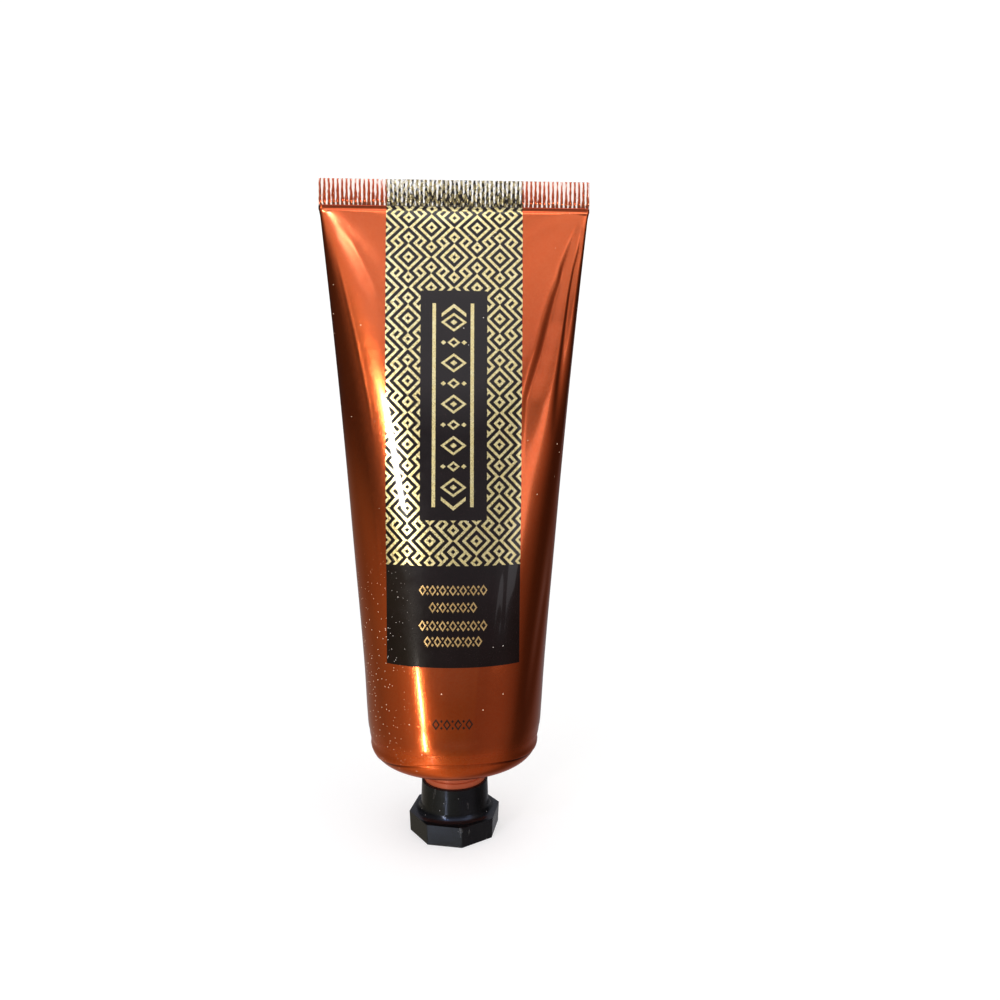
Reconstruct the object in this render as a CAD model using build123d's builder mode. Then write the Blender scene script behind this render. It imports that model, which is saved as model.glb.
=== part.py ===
"""Shaving cream tube: a filled laminate tube that stands on its octagonal screw cap.

Frame: origin at the centre of the cap's end face, +Z up the tube to the flat crimp,
+X along the crimp, and the printed front of the tube towards -Y. Millimetres.
"""

import os
from math import cos, pi, radians, sin, tan

from build123d import *

os.makedirs("parts", exist_ok=True)

# ---------------------------------------------------------------- driving dimensions
tube_radius = 20.0  # outside of the round end, a 40 mm tube
sleeve_wall = 0.45  # printed laminate web
crimp_half_width = pi * tube_radius / 2  # the round sleeve pressed flat
crimp_top_z = 154.4
crimp_rib_height = 5.5  # heat-sealed band with upright ribs
crimp_neck_height = 1.4  # plain pressed band under the ribs
crimp_half_thickness = 0.5
rib_count = 62
rib_radius = 0.38
rib_stand = 0.15  # how far each rib stands out of the crimp

sleeve_edge_z = 23.2  # where the sleeve's lower edge meets the shoulder
skirt_height = 3.0  # round stretch that the shoulder's skirt holds
depth_power = 0.6  # how the tube thins from round to flat
width_power = 1.15  # how it widens over the same height
section_count = 10

shoulder_arc = 4.2  # rounding from the sleeve into the shoulder cone
shoulder_slope = 15.0  # degrees, cone below the horizontal
shoulder_wall = 1.2
boss_radius = 7.4
groove_depth = 0.25
groove_width = 0.45
groove_z = 13.9

neck_radius = 5.6  # core of the threaded neck
neck_tip_z = 3.4
neck_tip_chamfer = 0.4
orifice_radius = 3.0

thread_pitch = 2.5
thread_height = 0.75  # radial depth of both threads
thread_foot = 1.1
thread_crest = 0.5
neck_turns = 1.75
cap_turns = 1.5
thread_root = 0.15  # how deep a ridge is sunk into its wall

head_radius = 11.1  # across the octagon's corners, halved
head_height = 4.9
head_draft = 2.5  # degrees, towards the end face
head_twist = 10.5  # degrees, how far the corners are turned from +X
head_edge = 0.3
collar_base_radius = 8.2
collar_rim_radius = 8.0
collar_rim_z = 12.5
collar_fillet = 1.8
cap_bore_radius = 6.6
cap_floor_z = 2.4
end_recess_radius = 7.5
end_recess_depth = 0.4

liner_thickness = 0.8
liner_radius = 6.5
seal_thickness = 0.12
seal_radius = 5.1
insert_thickness = 0.6
insert_radius = 17.2
bond_gap = 0.02  # between faces that are welded, bonded or pressed together
cream_gap = 0.06
cream_fill = 0.57  # share of the depth steps that the cream fills

# ---------------------------------------------------------------- derived heights
loft_start_z = sleeve_edge_z + skirt_height
crimp_base_z = crimp_top_z - crimp_rib_height - crimp_neck_height
loft_height = crimp_base_z - loft_start_z
bore_radius = tube_radius - sleeve_wall
skirt_radius = bore_radius - bond_gap
slope = tan(radians(shoulder_slope))
arc_centre_r = tube_radius - shoulder_arc
cone_start_r = arc_centre_r + shoulder_arc * sin(radians(shoulder_slope))
cone_start_z = sleeve_edge_z - shoulder_arc * cos(radians(shoulder_slope))
boss_top_z = cone_start_z - (cone_start_r - boss_radius) * slope
boss_foot_z = collar_rim_z + 0.05
skirt_inner_r = skirt_radius - shoulder_wall
insert_lift = bond_gap + insert_thickness  # top of the insert over the shoulder's cone
neck_thread_z = neck_tip_z + 1.9
cap_thread_z = neck_thread_z + thread_pitch / 2


def inner_cone_z(radius, lift=0.0):
    """Height of the shoulder's inner cone at a radius, lifted off its surface."""
    wall_height = shoulder_wall / cos(radians(shoulder_slope))
    return cone_start_z - (cone_start_r - radius) * slope + wall_height + lift


def tube_section(step):
    """Height, half width and half depth of the tube's outside, step 0 round to 1 flat."""
    rise = 1 - (1 - step) ** (1 / depth_power)
    half_width = tube_radius + (crimp_half_width - tube_radius) * rise**width_power
    half_depth = tube_radius + (crimp_half_thickness + 0.1 - tube_radius) * step
    return loft_start_z + loft_height * rise, half_width, half_depth


def tube_sections(inset, last_step=1.0):
    """Ellipses up the tube, each inset from the outside, ready to loft."""
    sections = []
    for index in range(section_count + 1):
        height, half_width, half_depth = tube_section(last_step * index / section_count)
        with BuildSketch(Plane.XY.offset(height)) as section:
            Ellipse(half_width - inset, half_depth - inset)
        sections.append(section.sketch)
    return sections


def thread_ridge(wall_radius, direction, start_z, turns):
    """Right-hand helical ridge on a round wall, standing out (+1) or in (-1)."""
    root = wall_radius - direction * thread_root
    crest = wall_radius + direction * thread_height
    with BuildPart() as ridge:
        with BuildLine() as path:
            Helix(thread_pitch, turns * thread_pitch, wall_radius, center=(0, 0, start_z))
        with BuildSketch(Plane.XZ):
            with BuildLine():
                Polyline(
                    (root, start_z - thread_foot / 2),
                    (crest, start_z - thread_crest / 2),
                    (crest, start_z + thread_crest / 2),
                    (root, start_z + thread_foot / 2),
                    close=True,
                )
            make_face()
        sweep(path=path.line, is_frenet=True)
    return ridge.part


# ---------------------------------------------------------------- tube_sleeve
with BuildPart() as tube_sleeve:
    with BuildSketch(Plane.XY.offset(sleeve_edge_z)):
        Circle(tube_radius)
    extrude(amount=skirt_height)
    loft(sections=tube_sections(0))
    with BuildSketch(Plane.XY.offset(crimp_base_z)):
        Rectangle(2 * crimp_half_width, 2 * crimp_half_thickness)
    extrude(amount=crimp_top_z - crimp_base_z)
    with BuildSketch(Plane.XY.offset(sleeve_edge_z)):
        Circle(bore_radius)
    extrude(amount=skirt_height, mode=Mode.SUBTRACT)
    loft(sections=tube_sections(sleeve_wall, last_step=0.93), mode=Mode.SUBTRACT)
    rib_pitch = 2 * (crimp_half_width - rib_radius) / (rib_count - 1)
    with BuildSketch(Plane.XY.offset(crimp_top_z - crimp_rib_height)):
        Rectangle(2 * crimp_half_width, 2 * crimp_half_thickness)
        for side in (-1, 1):
            with Locations((0, side * (crimp_half_thickness + rib_stand - rib_radius))):
                with GridLocations(rib_pitch, 0, rib_count, 1):
                    Circle(rib_radius)
    extrude(amount=crimp_rib_height)
tube_sleeve.part.label = "tube_sleeve"
export_step(tube_sleeve.part, "parts/tube_sleeve.step")

# ---------------------------------------------------------------- shoulder_head
with BuildPart() as shoulder_head:
    with BuildSketch(Plane.XZ):
        with BuildLine():
            cone_start = (cone_start_r, cone_start_z)
            arc_middle = (
                arc_centre_r + shoulder_arc * cos(radians(45 - shoulder_slope / 2)),
                sleeve_edge_z - shoulder_arc * sin(radians(45 - shoulder_slope / 2)),
            )
            ThreePointArc((tube_radius, sleeve_edge_z - bond_gap), arc_middle, cone_start)
            Polyline(
                cone_start,
                (boss_radius, boss_top_z),
                (boss_radius, groove_z + groove_width / 2),
                (boss_radius - groove_depth, groove_z),
                (boss_radius, groove_z - groove_width / 2),
                (boss_radius, boss_foot_z),
                (neck_radius, boss_foot_z),
                (neck_radius, neck_tip_z + neck_tip_chamfer),
                (neck_radius - neck_tip_chamfer, neck_tip_z),
                (orifice_radius, neck_tip_z),
                (orifice_radius, inner_cone_z(orifice_radius)),
                (insert_radius, inner_cone_z(insert_radius)),
                (skirt_inner_r, sleeve_edge_z),
                (skirt_inner_r, loft_start_z - bond_gap),
                (skirt_radius, loft_start_z - bond_gap),
                (skirt_radius, sleeve_edge_z - bond_gap),
                (tube_radius, sleeve_edge_z - bond_gap),
            )
        make_face()
    revolve(axis=Axis.Z)
    add(thread_ridge(neck_radius, 1, neck_thread_z, neck_turns))
shoulder_head.part.label = "shoulder_head"
export_step(shoulder_head.part, "parts/shoulder_head.step")

# ---------------------------------------------------------------- barrier_insert
with BuildPart() as barrier_insert:
    with BuildSketch(Plane.XZ):
        with BuildLine():
            Polyline(
                (orifice_radius, inner_cone_z(orifice_radius, bond_gap)),
                (insert_radius, inner_cone_z(insert_radius, bond_gap)),
                (insert_radius, inner_cone_z(insert_radius, insert_lift)),
                (orifice_radius, inner_cone_z(orifice_radius, insert_lift)),
                close=True,
            )
        make_face()
    revolve(axis=Axis.Z)
barrier_insert.part.label = "barrier_insert"
export_step(barrier_insert.part, "parts/barrier_insert.step")

# ---------------------------------------------------------------- orifice_seal
with BuildPart() as orifice_seal:
    with BuildSketch(Plane.XY.offset(neck_tip_z - bond_gap)):
        Circle(seal_radius)
    extrude(amount=-seal_thickness)
orifice_seal.part.label = "orifice_seal"
export_step(orifice_seal.part, "parts/orifice_seal.step")

# ---------------------------------------------------------------- shaving_cream
with BuildPart() as shaving_cream:
    with BuildSketch(Plane.XZ):
        with BuildLine():
            cone_lift = insert_lift + cream_gap
            plug_radius = orifice_radius - cream_gap
            cream_skirt_r = skirt_inner_r - cream_gap
            Polyline(
                (0, neck_tip_z + cream_gap),
                (plug_radius, neck_tip_z + cream_gap),
                (plug_radius, inner_cone_z(plug_radius, cone_lift)),
                (insert_radius, inner_cone_z(insert_radius, cone_lift)),
                (cream_skirt_r, sleeve_edge_z),
                (cream_skirt_r, loft_start_z),
                (0, loft_start_z),
                close=True,
            )
        make_face()
    revolve(axis=Axis.Z)
    loft(sections=tube_sections(sleeve_wall + cream_gap, last_step=cream_fill))
shaving_cream.part.label = "shaving_cream"
export_step(shaving_cream.part, "parts/shaving_cream.step")

# ---------------------------------------------------------------- cap_liner
with BuildPart() as cap_liner:
    with BuildSketch(Plane.XY.offset(cap_floor_z + bond_gap)):
        Circle(liner_radius)
    extrude(amount=liner_thickness)
    chamfer(cap_liner.edges(), length=0.1)
cap_liner.part.label = "cap_liner"
export_step(cap_liner.part, "parts/cap_liner.step")

# ---------------------------------------------------------------- screw_cap
with BuildPart() as screw_cap:
    with BuildSketch(Plane.XY.offset(head_height)):
        RegularPolygon(head_radius, 8, rotation=head_twist)
    extrude(amount=-head_height, taper=head_draft)
    head_edges = screw_cap.edges().filter_by(Plane.XY, reverse=True)
    fillet(head_edges, radius=head_edge)
    fillet(screw_cap.faces().sort_by(Axis.Z)[0].edges(), radius=head_edge)
    with BuildSketch(Plane.XZ):
        with BuildLine():
            fillet_foot = (collar_base_radius + collar_fillet, head_height)
            fillet_top = (collar_base_radius, head_height + collar_fillet)
            RadiusArc(fillet_foot, fillet_top, collar_fillet)
            Polyline(
                fillet_top,
                (collar_rim_radius, collar_rim_z - 0.2),
                (collar_rim_radius - 0.2, collar_rim_z),
                (cap_bore_radius + 0.3, collar_rim_z),
                (cap_bore_radius, collar_rim_z - 0.3),
                (cap_bore_radius, head_height),
                fillet_foot,
            )
        make_face()
    revolve(axis=Axis.Z)
    with BuildSketch(Plane.XY.offset(cap_floor_z)):
        Circle(cap_bore_radius)
    extrude(amount=collar_rim_z - cap_floor_z, mode=Mode.SUBTRACT)
    with BuildSketch(Plane.XY):
        Circle(end_recess_radius)
    extrude(amount=end_recess_depth, mode=Mode.SUBTRACT)
    add(thread_ridge(cap_bore_radius, -1, cap_thread_z, cap_turns))
screw_cap.part.label = "screw_cap"
export_step(screw_cap.part, "parts/screw_cap.step")
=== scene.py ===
"""Looks of the cream tube: pressed laminate sleeve, foil print, shoulder weld, cap finishes.

Lengths are in millimetres in the part's frame (cap end face at z 0, print towards -Y) and are
turned into metres when a mesh is made. Only the studio at the end is set out in metres. On the
sleeve, s is the distance round the front from its middle and z the height.
"""

import functools

import bpy
import numpy as np
from mathutils import Matrix, Vector


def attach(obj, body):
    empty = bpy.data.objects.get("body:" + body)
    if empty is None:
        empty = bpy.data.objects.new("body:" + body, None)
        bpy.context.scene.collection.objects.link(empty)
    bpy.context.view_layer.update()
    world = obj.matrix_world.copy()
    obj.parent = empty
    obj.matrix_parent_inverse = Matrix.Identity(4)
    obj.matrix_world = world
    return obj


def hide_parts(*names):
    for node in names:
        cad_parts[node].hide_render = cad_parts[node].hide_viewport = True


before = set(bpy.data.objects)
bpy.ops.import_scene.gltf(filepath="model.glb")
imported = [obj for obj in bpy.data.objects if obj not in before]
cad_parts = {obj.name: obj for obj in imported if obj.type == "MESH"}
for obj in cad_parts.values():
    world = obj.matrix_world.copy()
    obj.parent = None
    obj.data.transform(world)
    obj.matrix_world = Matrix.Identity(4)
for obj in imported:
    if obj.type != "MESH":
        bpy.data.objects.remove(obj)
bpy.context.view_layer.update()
MM = 0.001

# ------------------------------------------------------------------ sizes shared with the CAD
TUBE_R = 20.0
HALF_GIRTH = np.pi * TUBE_R / 2
EDGE_Z = 23.2  # where the straight wall meets the shoulder's arc
NECK_Z = 147.5  # foot of the flat band under the ribs
RIB_Z = 148.9
TOP_Z = 154.4
RIBS = 62
RIB_TURN = 2 * np.pi * RIBS / (2 * HALF_GIRTH)  # phase of the ribs for each mm across
ARC_R = 4.2
ARC_CENTRE = TUBE_R - ARC_R

# The sleeve's lower edge: its height in front, and how far it drops towards either side.
EDGE_FRONT_Z = 24.0
EDGE_DROP = 2.2
EDGE_LEAN_LEFT, EDGE_LEAN_RIGHT = 1.4, 0.2

# ------------------------------------------------------------------ printed layout
LABEL_HALF = 15.72
LABEL_FOOT = 44.6
UNIT_S = LABEL_HALF / 33  # half a lattice cell across
UNIT_Z = 0.4723  # and up
LATTICE_Z = 79.15  # centre of the lattice's middle lozenge
LATTICE_FOOT = LATTICE_Z - 26.5 * UNIT_Z
LATTICE_HEAD = 148.2
PANEL_HALF = 16 * UNIT_S
PANEL_FOOT = LATTICE_Z - 5.5 * UNIT_Z
PANEL_HEAD = LATTICE_Z + 103.5 * UNIT_Z
PANEL_MIDDLE = 102.3
HAIR = 1e-6  # allowance for rounding at the label's and panel's edges


def smooth(t):
    t = np.clip(t, 0.0, 1.0)
    return t * t * (3 - 2 * t)


# ------------------------------------------------------------------ sleeve surface
def half_width(z):
    """Half of the tube's width at height z, fitted to its outline."""
    rise = z - 24.2
    width = 20.55 + 0.063 * rise + 0.00019 * rise * rise
    width = TUBE_R + (width - TUBE_R) * smooth((z - EDGE_Z) / 4.5)
    return min(width, HALF_GIRTH)


def section(z, s):
    """Front half of the tube's outline at height z, at the arc positions s."""
    up = float(np.clip((z - EDGE_Z) / (NECK_Z - EDGE_Z), 0, 1))
    power = 2 / (2 + 0.06 * smooth((z - 24) / 20) + 0.84 * up**3)
    girth = HALF_GIRTH * (1 - 0.02 * np.sin(np.pi * up) + 0.012 * smooth((58 - z) / 28))
    turn = np.linspace(-np.pi / 2, np.pi / 2, 801)
    x = half_width(z) * np.sign(np.sin(turn)) * np.abs(np.sin(turn)) ** power
    shape_y = -np.abs(np.cos(turn)) ** power
    low, high = 0.3, 21.0
    for _ in range(30):
        depth = (low + high) / 2
        length = np.hypot(np.diff(x), np.diff(depth * shape_y)).sum() / 2
        low, high = (low, depth) if length > girth else (depth, high)
    y = np.maximum(depth * shape_y, -TUBE_R)
    along = np.concatenate([[0], np.cumsum(np.hypot(np.diff(x), np.diff(y)))])
    along = (along / along[-1] * 2 - 1) * HALF_GIRTH
    round_share = smooth((30 - z) / 6)
    round_y = -TUBE_R * np.cos(np.asarray(s) / TUBE_R)
    y = np.interp(s, along, y) * (1 - round_share) + round_y * round_share
    return np.interp(s, along, x), y


# Folds pressed into the laminate. Each is a run of (s, z, height, reach to -s, reach to +s).
FRONT_FOLDS = [
    # furrow on the right with a steep left wall, widening away from the crimp's corner
    [(28.6, 144.0, -0.04, 0.30, 0.60), (27.05, 139.2, -0.22, 0.45, 1.00),
     (25.5, 134.0, -0.44, 0.80, 1.60), (24.95, 130.7, -0.50, 1.00, 1.90),
     (23.95, 127.0, -0.66, 1.40, 2.30), (22.7, 121.3, -0.84, 1.80, 2.90),
     (21.0, 114.5, -0.84, 1.80, 3.20), (19.5, 109.8, -0.78, 1.80, 3.60),
     (17.4, 103.4, -0.56, 1.50, 4.00), (16.8, 94.0, -0.26, 1.40, 4.20), (16.4, 84.0, 0.0, 1.40, 4.20)],
    # a narrower one nearer the side
    [(29.8, 143.5, -0.06, 0.25, 0.30), (29.3, 138.3, -0.20, 0.40, 0.50),
     (28.3, 133.9, -0.34, 0.55, 0.70), (27.5, 127.9, -0.44, 0.70, 0.90),
     (26.8, 121.0, -0.44, 0.80, 1.20), (25.4, 108.0, -0.30, 1.00, 1.40), (24.2, 94.0, 0.0, 1.20, 1.60)],
    [(29.6, 124.0, 0.0, 0.60, 0.60), (28.8, 114.0, 0.14, 0.70, 0.60), (27.6, 98.0, 0.12, 0.90, 0.80),
     (26.0, 80.0, 0.0, 1.00, 1.00)],
    # left: fine creases that fan out of the corner
    [(-28.8, 144.6, 0.0, 0.40, 0.80), (-23.5, 139.0, 0.07, 0.60, 1.20), (-18.5, 129.0, 0.06, 0.80, 1.80),
     (-16.5, 118.0, 0.0, 0.80, 1.80)],
    [(-27.6, 137.0, 0.0, 0.30, 0.30), (-26.0, 131.0, 0.035, 0.30, 0.35), (-22.5, 115.7, 0.045, 0.35, 0.40),
     (-19.9, 103.3, 0.03, 0.35, 0.40), (-18.3, 92.0, 0.0, 0.35, 0.40)],
    [(-19.4, 82.0, 0.0, 0.40, 0.50), (-18.2, 72.0, 0.05, 0.50, 0.60), (-16.4, 52.0, 0.0, 0.50, 0.60)],
    # long shallow creases low on the body
    [(-4.6, 68.0, 0.0, 1.00, 1.20), (-4.0, 56.0, -0.06, 1.10, 1.40), (-3.2, 40.0, 0.0, 1.20, 1.20)],
    [(7.6, 72.0, 0.0, 0.50, 0.60), (6.4, 52.0, 0.07, 0.60, 0.80), (5.2, 38.0, 0.05, 0.60, 0.80),
     (4.4, 29.0, 0.0, 0.60, 0.80)],
    [(12.4, 72.0, 0.0, 1.00, 1.30), (10.8, 54.0, -0.10, 1.10, 1.40), (9.0, 38.0, 0.0, 1.20, 1.40)],
    [(26.0, 76.0, 0.0, 1.80, 1.60), (24.8, 60.0, -0.26, 1.90, 1.60), (21.8, 46.0, -0.24, 2.00, 1.80),
     (19.4, 36.0, -0.12, 2.00, 2.00), (17.8, 30.5, 0.0, 2.00, 2.00)],
]
BACK_FOLDS = [
    [(28.0, 143.0, -0.05, 0.40, 0.40), (24.5, 132.0, -0.25, 0.70, 0.60), (20.5, 116.0, -0.36, 1.10, 0.90),
     (17.0, 98.0, 0.0, 1.40, 1.20)],
    [(29.4, 143.0, 0.05, 0.80, 0.50), (27.6, 130.0, 0.36, 3.00, 0.80), (26.0, 112.0, 0.36, 4.00, 1.20),
     (24.0, 92.0, 0.0, 4.00, 2.00)],
    [(-28.6, 143.5, -0.05, 0.40, 0.40), (-25.5, 130.0, -0.22, 0.60, 0.90), (-21.5, 112.0, -0.28, 0.90, 1.20),
     (-18.0, 96.0, 0.0, 1.20, 1.40)],
    [(4.0, 112.0, 0.0, 3.00, 3.00), (6.5, 88.0, -0.18, 3.00, 2.60), (8.0, 64.0, 0.0, 3.00, 3.00)],
]


def fold_offset(s, z, folds):
    """Distance that the folds move the sleeve along its normal."""
    offset = np.zeros(np.broadcast(s, z).shape)
    for path in folds:
        run = np.array(path[::-1])
        centre, height, before, after = (np.interp(z, run[:, 1], run[:, k]) for k in (0, 2, 3, 4))
        reach = np.where(s < centre, before, after)
        ends = smooth((z - run[0, 1] + 4) / 4) * smooth((run[-1, 1] + 1.5 - z) / 3)
        offset += height * np.exp(-(((s - centre) / reach) ** 2)) * ends
    return offset


def handling(s, z, side):
    """Broad shallow unevenness that a filled tube has from handling."""
    across, down = HALF_GIRTH - np.abs(s), np.maximum(150 - z, 0.1)
    ray, away = np.arctan2(across, down), np.hypot(across, down)
    fan = np.where(s < 0, 0.022, 0.05) / 13 * away * np.sin(13 * ray + 2.1 * (s < 0) + side)
    fan = fan * smooth((46 - away) / 26) * smooth((np.abs(s) - 6) / 10)
    belly = 0.10 * np.sin(0.055 * z + 0.8 * side) * np.cos(0.13 * s + 0.4 * side)
    grip = 0.06 * np.sin(0.11 * z + 0.21 * s) * smooth((96 - z) / 40)
    ends = smooth((z - 30) / 12) * smooth((146.5 - z) / 5)
    return (fan + belly + grip) * ends


def neck_profile(z):
    """Half depth of the pressed band between the ribs and the filled tube."""
    return 0.46 + 0.46 * smooth((147.35 - z) / 0.5) - 0.30 * smooth((z - 148.15) / 0.35) ** 2


def weld_line(s):
    """Height of the sleeve's lower edge round the tube, lower on the left than the right."""
    turn = np.abs(np.sin(s / TUBE_R))
    return EDGE_FRONT_Z - EDGE_DROP * turn**2 - np.where(s < 0, EDGE_LEAN_LEFT, EDGE_LEAN_RIGHT) * turn


def shoulder_radius(z):
    """Radius of the shoulder at height z: the tube's own above the arc."""
    drop = np.clip(EDGE_Z - z, 0, ARC_R)
    return ARC_CENTRE + np.sqrt(ARC_R**2 - drop**2)


# ------------------------------------------------------------------ mesh helpers
def make_mesh(name, points, faces, body, materials, material_index=None):
    """A smooth-shaded piece from points in millimetres, riding on one of the part's bodies."""
    mesh = bpy.data.meshes.new(name)
    mesh.from_pydata((np.asarray(points, float) * MM).tolist(), [], faces)
    mesh.polygons.foreach_set("use_smooth", [True] * len(mesh.polygons))
    for material in materials:
        mesh.materials.append(material)
    if material_index is not None:
        mesh.polygons.foreach_set("material_index", material_index)
    mesh.update()
    obj = bpy.data.objects.new(name, mesh)
    bpy.context.scene.collection.objects.link(obj)
    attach(obj, body)
    return obj


def ring_faces(rows, columns):
    """Quads between closed rings of points, ring by ring from the top down, facing out."""
    faces = []
    for row in range(rows - 1):
        top, below = row * columns, (row + 1) * columns
        for column in range(columns):
            after = (column + 1) % columns
            faces.append((top + column, below + column, below + after, top + after))
    return faces


def joined_rings(rows, columns):
    """The same, with the last ring joined to the first, as for a shell with an inner wall."""
    final = (rows - 1) * columns
    return ring_faces(rows, columns) + [
        (final + c, c, (c + 1) % columns, final + (c + 1) % columns) for c in range(columns)
    ]


def mirror_back(front_s):
    """Arc positions once round the tube, along the front and back behind it, and their side."""
    side = np.concatenate([np.zeros(len(front_s)), np.ones(len(front_s) - 2)])
    return np.concatenate([front_s, front_s[-2:0:-1]]), side


# ------------------------------------------------------------------ sleeve grid
FRONT_S = np.unique(
    np.concatenate(
        [
            np.linspace(-HALF_GIRTH, -LABEL_HALF, 63),
            np.linspace(-LABEL_HALF, LABEL_HALF, 117),
            np.linspace(LABEL_HALF, HALF_GIRTH, 63),
        ]
    ).round(6)
)
RING_S, RING_SIDE = mirror_back(FRONT_S)
STRAIGHT_FOOT = 26.0
ROW_Z = np.concatenate(
    [
        np.linspace(148.5, 146.4, 22),
        np.linspace(146.0, LABEL_FOOT, 103),
        np.linspace(LABEL_FOOT - 0.95, STRAIGHT_FOOT, 19),
    ]
)


def rounded_end(s, reach):
    """1 over the width of the flat band, falling to 0 in a quarter round at its two ends."""
    over = np.clip((np.abs(s) - HALF_GIRTH + reach) / reach, 0, 1)
    return np.sqrt(np.clip(1 - over**2, 0, 1))


def sleeve_row(z):
    """One closed ring of the sleeve before folding."""
    x, y = section(min(z, 147.3), RING_S)
    rim = 1 - smooth((z - 146.6) / 0.9)
    flat_y = -neck_profile(z) * rounded_end(RING_S, 1.2)
    x = x * rim + RING_S * (1 - rim)
    y = y * rim + flat_y * (1 - rim)
    return np.stack([x, np.where(RING_SIDE == 0, y, -y), np.full(len(x), z)], 1)


def grid_normals(grid):
    """Outward unit normals of a grid of closed rings, ring by ring from the top down."""
    around = np.roll(grid, -1, 1) - np.roll(grid, 1, 1)
    down = np.gradient(grid, axis=0)
    normal = np.cross(down, around)
    return normal / np.maximum(np.linalg.norm(normal, axis=2, keepdims=True), 1e-9)


grid = np.array([sleeve_row(z) for z in ROW_Z])
grid_z = np.broadcast_to(ROW_Z[:, None], grid.shape[:2])
grid_s = np.broadcast_to(RING_S[None, :], grid.shape[:2])
lift = np.where(
    RING_SIDE[None, :] == 0,
    fold_offset(grid_s, grid_z, FRONT_FOLDS) + handling(grid_s, grid_z, 0),
    fold_offset(grid_s, grid_z, BACK_FOLDS) + handling(grid_s, grid_z, 1),
)
lift = lift * smooth((HALF_GIRTH - np.abs(grid_s)) / 2.5)
grid = grid + grid_normals(grid) * lift[..., None]
grid[..., 0] = np.clip(grid[..., 0], -HALF_GIRTH, HALF_GIRTH)
grid[..., 1] = np.clip(grid[..., 1], -TUBE_R, TUBE_R)
normals = grid_normals(grid)

# The sleeve's foot follows the weld line, and turns in over a rounded lip.
FOOT_ROWS = 8
LIP = 0.17
foot = []
last_straight = grid[-1]
facing = np.where(RING_SIDE == 0, -1, 1)
circle = np.stack([np.sin(RING_S / TUBE_R), facing * np.cos(RING_S / TUBE_R)], 1)


def round_ring(z, radius):
    """Ring that turns from the sleeve's last straight row into the shoulder's circle at EDGE_Z."""
    z, radius = np.broadcast_to(z, len(circle)), np.broadcast_to(radius, len(circle))
    share = smooth((STRAIGHT_FOOT - z) / (STRAIGHT_FOOT - EDGE_Z))[:, None]
    flat = last_straight[:, :2] * (1 - share) + circle * TUBE_R * share
    ring = np.column_stack([flat * (radius / TUBE_R)[:, None], z])
    ring[:, 1] = np.clip(ring[:, 1], -TUBE_R, TUBE_R)
    return ring


edge_z = weld_line(RING_S)
for step in np.linspace(0, 1, FOOT_ROWS + 1)[1:]:
    z = STRAIGHT_FOOT + (edge_z - STRAIGHT_FOOT) * step
    foot.append(round_ring(z, shoulder_radius(z) + LIP * smooth((EDGE_Z + 0.6 - z) / 1.6)))
edge = foot[-1]
for inset, drop in ((0.05, 0.07), (0.16, 0.10), (0.40, 0.09)):
    shrink = 1 - inset / TUBE_R
    foot.append(edge * (shrink, shrink, 1) - (0, 0, drop))

# Inner wall, back up to the crimp, so that the sleeve is one closed shell: every sixth row, and
# then two rings inside the flat band.
WALL = 0.4
INNER_HEAD = 24  # row under the flat band
inner = []
for row in range(len(ROW_Z) - 2, INNER_HEAD, -6):
    ring = grid[row] - normals[row] * WALL
    keep = np.sign(grid[row][:, 1]) * np.maximum(np.abs(grid[row][:, 1]) - WALL, 0.03)
    ring[:, 1] = np.where(np.abs(grid[row][:, 0]) > HALF_GIRTH - 2, keep, ring[:, 1])
    inner.append(ring)
inner += [grid[row] * (1, 0.3, 1) for row in (15, 8)]

rings = [grid[0] * (1, 0.4, 1), *grid, *foot, *inner]
columns = len(RING_S)
sleeve_faces = joined_rings(len(rings), columns)

# material of each face: copper, or the label's dark band in front
COPPER, DARK, FOIL = 0, 1, 2
band = np.full(len(sleeve_faces), COPPER)
front_cell = (np.abs(FRONT_S[:-1] + FRONT_S[1:]) / 2 < LABEL_HALF).nonzero()[0]
for row, z in enumerate(ROW_Z[:-1]):
    if (z + ROW_Z[row + 1]) / 2 > LABEL_FOOT:
        band[(row + 1) * columns + front_cell] = DARK
band[front_cell] = DARK


# ------------------------------------------------------------------ materials
def plug(tree, socket, value):
    """Link a node's output to the socket, or set the socket to a plain value."""
    if isinstance(value, bpy.types.NodeSocket):
        tree.links.new(value, socket)
    else:
        socket.default_value = value


def fill_ramp(node, stops):
    """Give a colour ramp its stops: (position, (r, g, b))."""
    elements = node.color_ramp.elements
    while len(elements) < len(stops):
        elements.new(0.5)
    for element, (position, colour) in zip(elements, stops):
        element.position, element.color = position, (*colour, 1)
    return node.outputs["Color"]


def mix_node(tree, blend, factor, a, b):
    node = tree.nodes.new("ShaderNodeMix")
    node.data_type, node.blend_type = "RGBA", blend
    for index, value in ((0, factor), (6, a), (7, b)):
        plug(tree, node.inputs[index], value)
    return node.outputs[2]


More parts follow.
